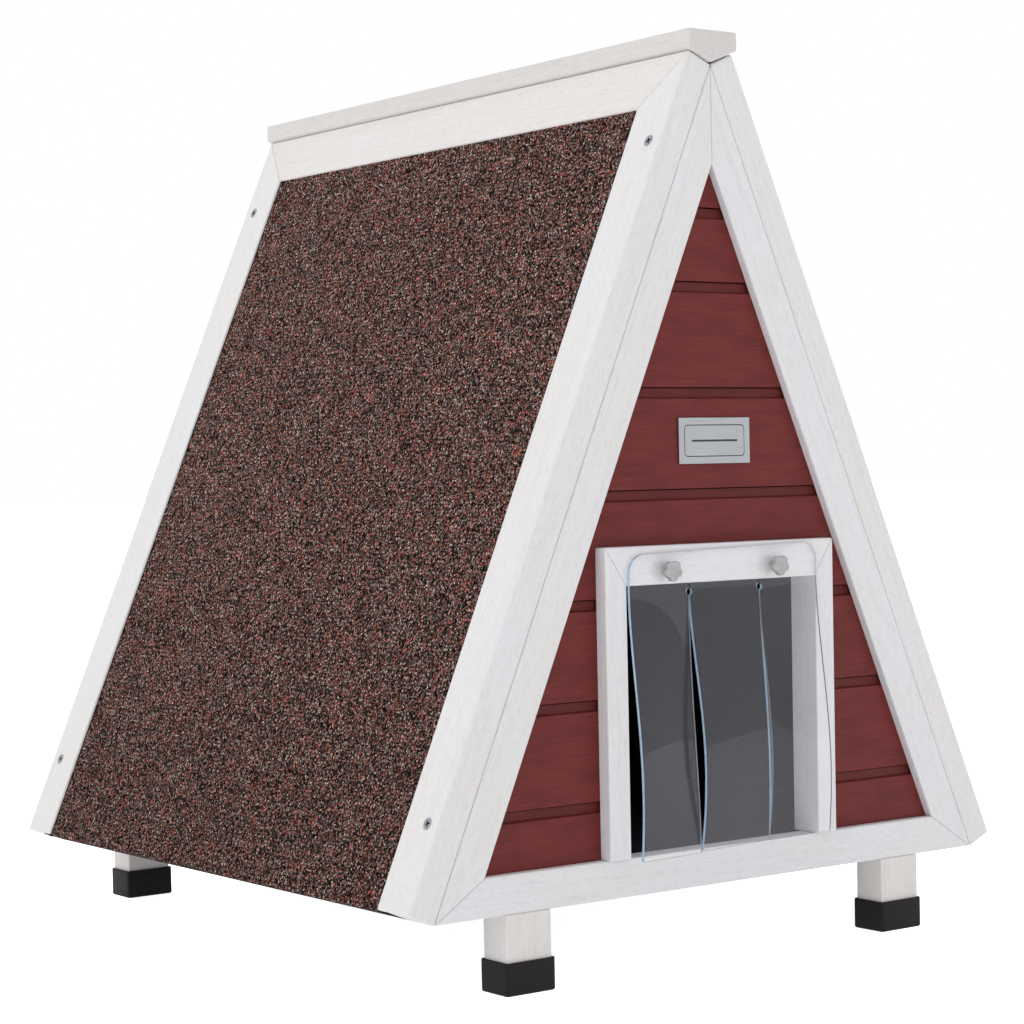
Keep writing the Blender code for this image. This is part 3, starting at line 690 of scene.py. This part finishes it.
def felt_sheet(side, sizes):
    """A granule-covered felt: pitted on its face and frayed along its lower edge."""
    axes = panel_axes(side)
    low, high = extent(f"roof_{side}_felt", axes)
    high.z += sizes.felt_rise
    size = high - low
    deselect()
    bpy.ops.mesh.primitive_grid_add(x_subdivisions=round(size.x / sizes.granule_pitch),
                                    y_subdivisions=round(size.y / sizes.granule_pitch), size=1)
    felt = named(f"felt_{side}")
    with editing(felt):
        bpy.ops.transform.resize(value=(size.x, size.y, 1))
        bpy.ops.transform.translate(value=((low.x + high.x) / 2, (low.y + high.y) / 2, high.z))
        bpy.ops.mesh.region_to_loop()
        bpy.ops.mesh.extrude_region_move(TRANSFORM_OT_translate={"value": (0, 0, -size.z)})
        bpy.ops.mesh.edge_face_add()
    outward(felt)
    face = felt.vertex_groups.new(name="face")
    eaves = felt.vertex_groups.new(name="eaves")
    face.add([v.index for v in felt.data.vertices if v.co.z > high.z - 0.1 * MM], 1, "REPLACE")
    eaves.add([v.index for v in felt.data.vertices if v.co.x < low.x + 0.1 * MM], 1, "REPLACE")
    for group, axis, scale, strength, rest in (("face", "Z", 1.5 * MM, sizes.granule_relief, 1.0),
                                               ("eaves", "X", 3 * MM, sizes.felt_fray, 0.0)):
        grain = bpy.data.textures.new(f"{side}_{group}", "CLOUDS")
        grain.noise_scale = scale
        grain.noise_depth = 1
        push = felt.modifiers.new(group, "DISPLACE")
        push.texture = grain
        push.texture_coords = "LOCAL"
        push.direction = axis
        push.vertex_group = group
        push.mid_level = rest
        push.strength = strength
    apply(felt)
    felt.vertex_groups.clear()
    settle(felt, axes)
    return felt


class HOUSE_OT_felt(bpy.types.Operator):
    """Lay the mineral felt on both roof panels"""

    bl_idname = "rabbit_house.felt"
    bl_label = "Roof felt"

    def execute(self, context):
        material = roof_felt("mineral_felt")
        for side in SIDES:
            felt = felt_sheet(side, context.scene.house_sizes)
            paint(felt, material)
            smooth(felt, 40)
            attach(felt, "house")
            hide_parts(f"roof_{side}_felt")
        return {"FINISHED"}


SCREW_HEAD = 4.0 * MM
SCREW_SHANK = 2.0 * MM
SCREW_PROUD = 0.2 * MM
SCREW_DEEP = 2.6 * MM
SCREW_LONG = 32 * MM
TIP_LONG = 4 * MM
TIP_SHARE = 0.3
CROSS_LONG = 5.2 * MM
CROSS_WIDE = 1.3 * MM
CROSS_DEEP = 2.0 * MM
CROSS_TAPER = (0.6, 0.8, 1)
CROSS_TURNS = (20, 110)


def countersunk_screw():
    """A cross-head screw along Z with its face just above zero."""
    deselect()
    bpy.ops.mesh.primitive_circle_add(vertices=40, radius=SCREW_SHANK * TIP_SHARE, fill_type="NGON",
                                      location=(0, 0, -SCREW_LONG))
    screw = named("screw_pattern")
    settle(screw)
    tip_and_shank = ((TIP_LONG, 1 / TIP_SHARE), (SCREW_LONG - TIP_LONG - SCREW_DEEP, 1))
    head = ((SCREW_DEEP, SCREW_HEAD / SCREW_SHANK), (SCREW_PROUD * 0.5, 0.985), (SCREW_PROUD * 0.4, 0.93),
            (SCREW_PROUD * 0.1, 0.8))
    with editing(screw):
        for rise, grow in (*tip_and_shank, *head):
            bpy.ops.mesh.extrude_region_move(TRANSFORM_OT_translate={"value": (0, 0, rise)})
            bpy.ops.transform.resize(value=(grow, grow, 1))
    outward(screw)
    for turn in CROSS_TURNS:
        slot = block("slot", (-CROSS_LONG / 2, -CROSS_WIDE / 2, -CROSS_DEEP),
                     (CROSS_LONG / 2, CROSS_WIDE / 2, 1 * MM))
        with editing(slot):
            choose(slot, "FACE", lambda face: face.normal.z < -0.5)
            bpy.ops.transform.resize(value=CROSS_TAPER)
        settle(slot, Matrix.Rotation(math.radians(turn), 4, "Z"))
        combine(screw, slot)
    smooth(screw)
    return screw


class HOUSE_OT_screws(bpy.types.Operator):
    """Drive the countersunk screws into the roof stiles"""

    bl_idname = "rabbit_house.screws"
    bl_label = "Roof screws"

    def execute(self, context):
        pattern = countersunk_screw()
        paint(pattern, zinc_plate("zinc_plate"))
        for side in SIDES:
            axes = panel_axes(side)
            for end in ENDS:
                for level in ("top", "bottom"):
                    node = f"roof_screw_{side}_{end}_{level}"
                    low, high = extent(node, axes)
                    place = Matrix.Translation(((low.x + high.x) / 2, (low.y + high.y) / 2,
                                                high.z - SCREW_PROUD))
                    screw = copy_of(pattern, f"screw_{side}_{end}_{level}", axes @ place)
                    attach(screw, "house")
                    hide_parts(node)
        bpy.data.objects.remove(pattern)
        return {"FINISHED"}


# ------------ operators: flap

FLAP_BOX = (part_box("flap_strip_left")[0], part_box("flap_band")[1])
FLAP_MID_Y = (FLAP_BOX[0].y + FLAP_BOX[1].y) / 2
FLAP_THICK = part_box("flap_band")[1].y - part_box("flap_band")[0].y
BEND_Z = frame["joints"][0]["pos_m"][2]
SLIT_X = [(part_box(f"flap_strip_{a}")[1].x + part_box(f"flap_strip_{b}")[0].x) / 2
          for a, b in zip(STRIPS, STRIPS[1:])]
SLIT_WIDE = 0.5 * MM
BOW_TOP = BEND_Z + 2 * MM
CORNER_ZONE = 14 * MM
TILT_FADE = 12 * MM
STEM_HOLE = 2.35 * MM
# How far each strip's two side edges stand off the doorway, in mm: (belly, foot) for left and right
STRIP_BOW = {"left": ((4.0, 9.6), (-0.8, 8.6)), "middle": ((7.4, 9.8), (6.4, 7.0)),
             "right": ((3.0, 6.0), (4.5, 10.5))}
STRIP_COLUMNS = 10
STRIP_ROWS = 64


def turning_point(body):
    """Where a body's joint is."""
    return next(joint["pos_m"] for joint in frame["joints"] if body in joint["name"])


def thicken(piece):
    """Give a flat sheet the flap's thickness."""
    solid = piece.modifiers.new("sheet", "SOLIDIFY")
    solid.thickness = FLAP_THICK
    solid.offset = 0
    apply(piece)
    outward(piece)


def mark_rim(piece):
    """Give a sheet's cut edges the second material, painted light, where they face left, and the third,
    painted shade, elsewhere.
    """
    for face in piece.data.polygons:
        inner = (abs(face.center.x) < FLAP_BOX[1].x - 1 * MM
                 and face.center.z < FLAP_BOX[1].z - CORNER_ZONE)
        uncut = inner and face.center.z > BOW_TOP
        if abs(face.normal.y) < 0.6 and not uncut:
            face.material_index = 1 if face.normal.x < -0.6 else 2


def flap_band(sizes):
    """The clamped top of the flap, with round corners."""
    half = FLAP_BOX[1].x
    top = FLAP_BOX[1].z
    deselect()
    bpy.ops.mesh.primitive_plane_add(size=1, rotation=(math.radians(90), 0, 0))
    band = named("band")
    settle(band)
    with editing(band):
        bpy.ops.transform.resize(value=(2 * half, 1, top - HEAD_LOW_Z))
        bpy.ops.transform.translate(value=(0, FLAP_MID_Y, (top + HEAD_LOW_Z) / 2))
        choose(band, "VERT", lambda vertex: vertex.co.z > top - 1 * MM)
        bpy.ops.mesh.bevel(offset=sizes.flap_corner, segments=10, affect="VERTICES")
    for vertex in band.data.vertices:
        if vertex.co.z > HEAD_LOW_Z + 1 * MM:
            vertex.co.z += vertex.co.x * math.tan(sizes.flap_tilt)
    thicken(band)
    for side in SIDES:
        x, _, z = turning_point(f"thumbscrew_{side}")
        combine(band, rod("hole", STEM_HOLE, (x, FLAP_MID_Y - 3 * MM, z), (x, FLAP_MID_Y + 3 * MM, z)))
    return band


def bow(t, belly, foot):
    """How far a strip's edge stands out at a share t of the way down."""
    t = max(0.0, min(1.0, t))
    return (belly * math.sin(math.pi * t ** 1.3) + foot * t * t * (3 - 2 * t)) * MM


def strip_sides(name):
    """Where a strip's two side edges lie along X."""
    number = STRIPS.index(name)
    edges = [FLAP_BOX[0].x, *SLIT_X, FLAP_BOX[1].x]
    return (edges[number] + (SLIT_WIDE / 2 if number else 0),
            edges[number + 1] - (SLIT_WIDE / 2 if number < len(SLIT_X) else 0))


def flap_strip(name, sizes):
    """One hanging strip, bent outwards and cut square at the bottom."""
    foot_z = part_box(f"flap_strip_{name}")[0].z
    left, right = strip_sides(name)
    deselect()
    bpy.ops.mesh.primitive_grid_add(x_subdivisions=STRIP_COLUMNS, y_subdivisions=STRIP_ROWS, size=1,
                                    rotation=(math.radians(90), 0, 0))
    strip = named(name)
    settle(strip)
    with editing(strip):
        bpy.ops.transform.resize(value=(right - left, 1, HEAD_LOW_Z - foot_z))
        bpy.ops.transform.translate(value=((left + right) / 2, FLAP_MID_Y, (HEAD_LOW_Z + foot_z) / 2))
    columns = {}
    for vertex in strip.data.vertices:
        columns.setdefault(round(vertex.co.x, 6), []).append(vertex)
    for x, column in columns.items():
        column.sort(key=lambda vertex: -vertex.co.z)
        across = (x - left) / (right - left)
        across = across * across * (3 - 2 * across) * 0.5 + across * 0.5
        (belly_a, foot_a), (belly_b, foot_b) = STRIP_BOW[name]
        belly = belly_a + (belly_b - belly_a) * across
        foot = foot_a + (foot_b - foot_a) * across
        flat = [vertex.co.z for vertex in column]
        height, out = flat[0], 0.0
        for index, vertex in enumerate(column):
            if index:
                now = bow((BOW_TOP - flat[index]) / (BEND_Z - foot_z), belly, foot)
                step = flat[index - 1] - flat[index]
                height -= math.sqrt(max(0.0, step * step - (now - out) ** 2))
                out = now
            vertex.co.y = FLAP_MID_Y - out
            vertex.co.z = height
            share_down = min(1.0, (HEAD_LOW_Z - flat[index]) / TILT_FADE)
            vertex.co.z += x * math.tan(sizes.flap_tilt) * share_down
    thicken(strip)
    for x in SLIT_X:
        if left - 1 * MM < x < right + 1 * MM:
            z = BEND_Z + x * math.tan(sizes.flap_tilt) * 0.5
            hole = rod("hole", sizes.slit_hole, (x, FLAP_MID_Y - 8 * MM, z), (x, FLAP_MID_Y + 8 * MM, z), 40)
            combine(strip, hole)
    return strip


class HOUSE_OT_flap(bpy.types.Operator):
    """Hang the clear flap: the clamped band and its three strips"""

    bl_idname = "rabbit_house.flap"
    bl_label = "Clear flap"

    def execute(self, context):
        sizes = context.scene.house_sizes
        tints = context.scene.house_colours
        sheet = clear_sheet("clear_sheet")
        # Painted light on the cut edges that face the key light, painted shade on the rest
        lit_rim = cut_edge("cut_edge", tints.cut_edge, 0.3)
        shaded_rim = cut_edge("far_cut_edge", tints.far_edge_shade, 0.5)
        band = flap_band(sizes)
        strips = {name: flap_strip(name, sizes) for name in STRIPS}
        for piece in (band, *strips.values()):
            paint(piece, sheet, lit_rim, shaded_rim)
            mark_rim(piece)
            smooth(piece)
        band.name = band.data.name = "clear_band"
        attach(band, "house")
        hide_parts("flap_band")
        for name, strip in strips.items():
            strip.name = strip.data.name = f"clear_strip_{name}"
            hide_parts(f"flap_strip_{name}")
            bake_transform(strip)
        return {"FINISHED"}


THUMB_DEEP = 4.5 * MM
NECK_RADIUS = 2.8 * MM
COLLAR_RADIUS = 4.4 * MM
COLLAR_THICK = 1.6 * MM
COLLAR_GAP = 0.3 * MM
STEM_RADIUS = 2.0 * MM
LOBE_POINTS = 14
DIMPLE_RINGS = ((0.9 * MM, 0.0), (1.0 * MM, -0.35 * MM), (1.0 * MM, -0.15 * MM))


def thumbscrew_head(sizes, back, front):
    """A flower-shaped head along Y with soft edges and a shallow dimple in its face."""
    head = rod("thumb_head", sizes.thumb_head, (0, front, 0), (0, back, 0),
               sizes.thumb_lobes * LOBE_POINTS)
    for vertex in head.data.vertices:
        angle = math.atan2(vertex.co.z, vertex.co.x)
        petal = abs(math.cos(sizes.thumb_lobes / 2 * (angle + math.radians(18)))) ** 0.8
        radius = sizes.thumb_head + sizes.thumb_lobe * (2 * petal - 1)
        vertex.co.x, vertex.co.z = radius * math.cos(angle), radius * math.sin(angle)
    round_edges(head, 1.3 * MM, 5, 60)
    with editing(head):
        choose(head, "FACE", lambda face: face.normal.y < -0.99 and len(face.verts) > 8)
        for width, depth in DIMPLE_RINGS:
            bpy.ops.mesh.inset(thickness=width, depth=depth)
    return head


class HOUSE_OT_thumbscrews(bpy.types.Operator):
    """Fit the two clear thumbscrews that clamp the flap"""

    bl_idname = "rabbit_house.thumbscrews"
    bl_label = "Thumbscrews"

    def execute(self, context):
        sizes = context.scene.house_sizes
        moulding = clear_moulding("clear_moulding")
        for side in SIDES:
            low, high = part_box(f"flap_thumbscrew_{side}")
            x, _, z = turning_point(f"thumbscrew_{side}")
            face = FLAP_MID_Y - FLAP_THICK / 2 - COLLAR_GAP
            head_back = low.y + THUMB_DEEP
            screw = thumbscrew_head(sizes, head_back, low.y)
            neck = rod("neck", NECK_RADIUS, (0, head_back - 0.8 * MM, 0), (0, face - 1.0 * MM, 0))
            collar = rod("collar", COLLAR_RADIUS, (0, face - COLLAR_THICK, 0), (0, face, 0), 40)
            round_edges(collar, 0.5 * MM, 3)
            stem = rod("stem", STEM_RADIUS, (0, face - 0.5 * MM, 0), (0, high.y, 0))
            for tool in (neck, collar, stem):
                combine(screw, tool, "UNION")
            screw.name = screw.data.name = f"thumbscrew_head_{side}"
            settle(screw, Matrix.Translation((x, 0, z)))
            paint(screw, moulding)
            smooth(screw, 40)
            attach(screw, f"thumbscrew_{side}")
            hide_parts(f"flap_thumbscrew_{side}")
        return {"FINISHED"}


# ------------ operators: plate and leg caps

RULE_HALF = 20 * MM
RULE_WIDE = 1.3 * MM
ENGRAVED = 0.15 * MM
LINE_WIDE = 0.6 * MM
LINE_CORNER = 3.0 * MM


class HOUSE_OT_nameplate(bpy.types.Operator):
    """Make the blank nameplate with an engraved border and a plain rule"""

    bl_idname = "rabbit_house.nameplate"
    bl_label = "Nameplate"

    def execute(self, context):
        low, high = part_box("nameplate")
        border = context.scene.house_sizes.plate_border
        plate = block("plate", low, high)
        paint(plate, brushed_plate("brushed_plate"), engraving_ink("engraving_ink"))
        with editing(plate):
            choose(plate, "FACE", lambda face: face.normal.y < -0.5)
            bpy.ops.mesh.inset(thickness=border)
            inner = {v.index for v in bmesh.from_edit_mesh(plate.data).verts if v.select}
            choose(plate, "VERT", lambda vertex: vertex.index in inner)
            bpy.ops.mesh.bevel(offset=LINE_CORNER, segments=6, affect="VERTICES")
            choose(plate, "FACE", lambda face: face.normal.y < -0.5 and len(face.verts) > 8
                   and min(v.co.x for v in face.verts) > low.x + border / 2
                   and max(v.co.x for v in face.verts) < high.x - border / 2)
            bpy.ops.mesh.inset(thickness=LINE_WIDE)
            kept = {v.index for v in bmesh.from_edit_mesh(plate.data).verts if v.select}
            choose(plate, "FACE", lambda face: face.normal.y < -0.5 and len(face.verts) == 4
                   and any(v.index in kept for v in face.verts))
            bpy.ops.mesh.extrude_region_move(TRANSFORM_OT_translate={"value": (0, ENGRAVED, 0)})
            bpy.context.object.active_material_index = 1
            bpy.ops.object.material_slot_assign()
        middle_z = (low.z + high.z) / 2
        middle_x = (low.x + high.x) / 2
        rule = block("rule", (middle_x - RULE_HALF, low.y - 1 * MM, middle_z - RULE_WIDE / 2),
                     (middle_x + RULE_HALF, low.y + ENGRAVED, middle_z + RULE_WIDE / 2))
        rule.data.materials.append(plate.data.materials[1])
        with editing(rule):
            choose(rule, "EDGE", lambda edge: abs(edge.verts[0].co.y - edge.verts[1].co.y) > 0.5 * MM)
            bpy.ops.mesh.bevel(offset=0.4 * MM, segments=4)
        combine(plate, rule)
        round_edges(plate, 0.12 * MM, 1, 60)
        plate.name = plate.data.name = "engraved_nameplate"
        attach(plate, "house")
        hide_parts("nameplate")
        return {"FINISHED"}


CAP_WALL = 1.8 * MM
CAP_FLOOR = 2.5 * MM
CAP_FOOT = 1.5 * MM


class HOUSE_OT_leg_caps(bpy.types.Operator):
    """Push a moulded cap on each leg"""

    bl_idname = "rabbit_house.leg_caps"
    bl_label = "Leg caps"

    def execute(self, context):
        rubber = moulded_rubber("moulded_rubber")
        corner = context.scene.house_sizes.cap_corner
        for end in ENDS:
            for side in SIDES:
                node = f"leg_cap_{end}_{side}"
                low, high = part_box(node)
                cap = block("cap", low, high)
                with editing(cap):
                    choose(cap, "EDGE", lambda edge: abs(edge.verts[0].co.z - edge.verts[1].co.z) > 1 * MM)
                    bpy.ops.mesh.bevel(offset=corner, segments=6)
                    choose(cap, "FACE", lambda face: face.normal.z > 0.9)
                    bpy.ops.mesh.inset(thickness=CAP_WALL)
                    bpy.ops.mesh.extrude_region_move(
                        TRANSFORM_OT_translate={"value": (0, 0, low.z + CAP_FLOOR - high.z)})
                with editing(cap):
                    choose(cap, "EDGE", lambda edge: middle(edge).z < low.z + 0.1 * MM)
                    bpy.ops.mesh.bevel(offset=CAP_FOOT, segments=4)
                round_edges(cap, 0.5 * MM, 3, 50)
                cap.name = cap.data.name = f"moulded_cap_{end}_{side}"
                paint(cap, rubber)
                smooth(cap, 35)
                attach(cap, "house")
                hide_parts(node)
        return {"FINISHED"}


# ------------ operator: stage

FLOOR_REACH = 30.0
KEY_PLACE = (-3.0, -0.6, 2.8)
KEY_SIZE = 2.6
KEY_AIM = (0, 0, 0.3)


def pale_floor():
    """A matt pale floor that looks as bright as the surround."""
    f = Finish("pale_floor", 0.9, 0.1)
    mottle = f.noise(f.stretched((0.4, 0.4, 0.4)), 2, 0.5)
    f.set("Base Color", f.mix(mottle, (0.93, 0.93, 0.93), (0.95, 0.95, 0.95)))
    f.set("Emission Color", (1.0, 1.0, 1.0))
    seen = f.node("ShaderNodeLightPath", {}, "Is Camera Ray")
    f.set("Emission Strength", f.math("ADD", f.math("MULTIPLY", seen, 0.6), 0.35))
    return f.material


def white_surround(brightness, front_dim):
    """A white surround that looks even, but lights the front less than the back."""
    world = bpy.data.worlds.new("white_surround")
    world.use_nodes = True
    nodes, links = world.node_tree.nodes, world.node_tree.links
    split = nodes.new("ShaderNodeSeparateXYZ")
    links.new(nodes.new("ShaderNodeTexCoord").outputs["Generated"], split.inputs[0])
    tilt = nodes.new("ShaderNodeMath")
    tilt.operation = "MULTIPLY_ADD"
    links.new(split.outputs["Y"], tilt.inputs[0])
    tilt.inputs[1].default_value = front_dim * brightness
    tilt.inputs[2].default_value = brightness
    path = nodes.new("ShaderNodeLightPath")
    mirrored = nodes.new("ShaderNodeMath")
    mirrored.operation = "MAXIMUM"
    links.new(path.outputs["Is Camera Ray"], mirrored.inputs[0])
    links.new(path.outputs["Is Glossy Ray"], mirrored.inputs[1])
    even = nodes.new("ShaderNodeMix")
    links.new(mirrored.outputs[0], even.inputs[0])
    links.new(tilt.outputs[0], even.inputs[2])
    even.inputs[3].default_value = 1.0
    nodes["Background"].inputs["Color"].default_value = (1.0, 1.0, 1.0, 1)
    links.new(even.outputs[0], nodes["Background"].inputs["Strength"])
    return world


class HOUSE_OT_stage(bpy.types.Operator):
    """Set the pale floor, the soft light and the camera"""

    bl_idname = "rabbit_house.stage"
    bl_label = "Stage"

    def execute(self, context):
        stage = context.scene.house_stage
        deselect()
        bpy.ops.mesh.primitive_plane_add(size=2 * FLOOR_REACH, location=(0, 0, 0))
        floor = named("floor")
        paint(floor, pale_floor())

        context.scene.world = white_surround(stage.sky, stage.front_dim)
        context.scene.view_settings.view_transform = "Standard"

        bpy.ops.object.light_add(type="AREA", location=KEY_PLACE)
        key = bpy.context.object
        key.name = "key_light"
        key.data.shape = "DISK"
        key.data.size = KEY_SIZE
        key.data.energy = stage.key
        key.rotation_mode = "QUATERNION"
        key.rotation_quaternion = (Vector(KEY_PLACE) - Vector(KEY_AIM)).to_track_quat("Z", "Y")

        bpy.ops.object.camera_add(location=stage.eye)
        camera = bpy.context.object
        camera.name = "camera"
        camera.data.lens = stage.lens
        camera.data.sensor_width = 36
        camera.data.shift_y = stage.rise
        ahead = Vector((math.sin(stage.yaw) * math.cos(stage.pitch),
                        math.cos(stage.yaw) * math.cos(stage.pitch), math.sin(stage.pitch)))
        right = Vector((math.cos(stage.yaw), -math.sin(stage.yaw), 0))
        up = right.cross(ahead)
        rolled_right = right * math.cos(stage.roll) + up * math.sin(stage.roll)
        rolled_up = up * math.cos(stage.roll) - right * math.sin(stage.roll)
        turn = Matrix((rolled_right, rolled_up, -ahead)).transposed()
        camera.rotation_euler = turn.to_euler()
        context.scene.camera = camera
        return {"FINISHED"}


# ------------ panel and registration

MAKERS = (HOUSE_OT_timber, HOUSE_OT_boards, HOUSE_OT_inside, HOUSE_OT_felt, HOUSE_OT_screws, HOUSE_OT_flap,
          HOUSE_OT_thumbscrews, HOUSE_OT_nameplate, HOUSE_OT_leg_caps, HOUSE_OT_stage)


class HOUSE_PT_panel(bpy.types.Panel):
    """Sizes, colours and makers of the rabbit house"""

    bl_idname = "HOUSE_PT_panel"
    bl_label = "Rabbit house"
    bl_space_type = "VIEW_3D"
    bl_region_type = "UI"
    bl_category = "Rabbit house"

    def draw(self, context):
        for group in (context.scene.house_sizes, context.scene.house_colours, context.scene.house_stage):
            box = self.layout.box()
            for name in group.__annotations__:
                box.prop(group, name)
        for maker in MAKERS:
            self.layout.operator(maker.bl_idname)


CLASSES = (HouseSizes, HouseColours, HouseStage, *MAKERS, HOUSE_PT_panel)


def register():
    for cls in CLASSES:
        bpy.utils.register_class(cls)
    bpy.types.Scene.house_sizes = PointerProperty(type=HouseSizes)
    bpy.types.Scene.house_colours = PointerProperty(type=HouseColours)
    bpy.types.Scene.house_stage = PointerProperty(type=HouseStage)


def unregister():
    for name in ("house_stage", "house_colours", "house_sizes"):
        delattr(bpy.types.Scene, name)
    for cls in reversed(CLASSES):
        bpy.utils.unregister_class(cls)


def main():
    register()
    for maker in MAKERS:
        group, name = maker.bl_idname.split(".")
        if getattr(getattr(bpy.ops, group), name)() != {"FINISHED"}:
            raise RuntimeError(f"{maker.bl_label} didn't finish")


if __name__ == "__main__":
    main()
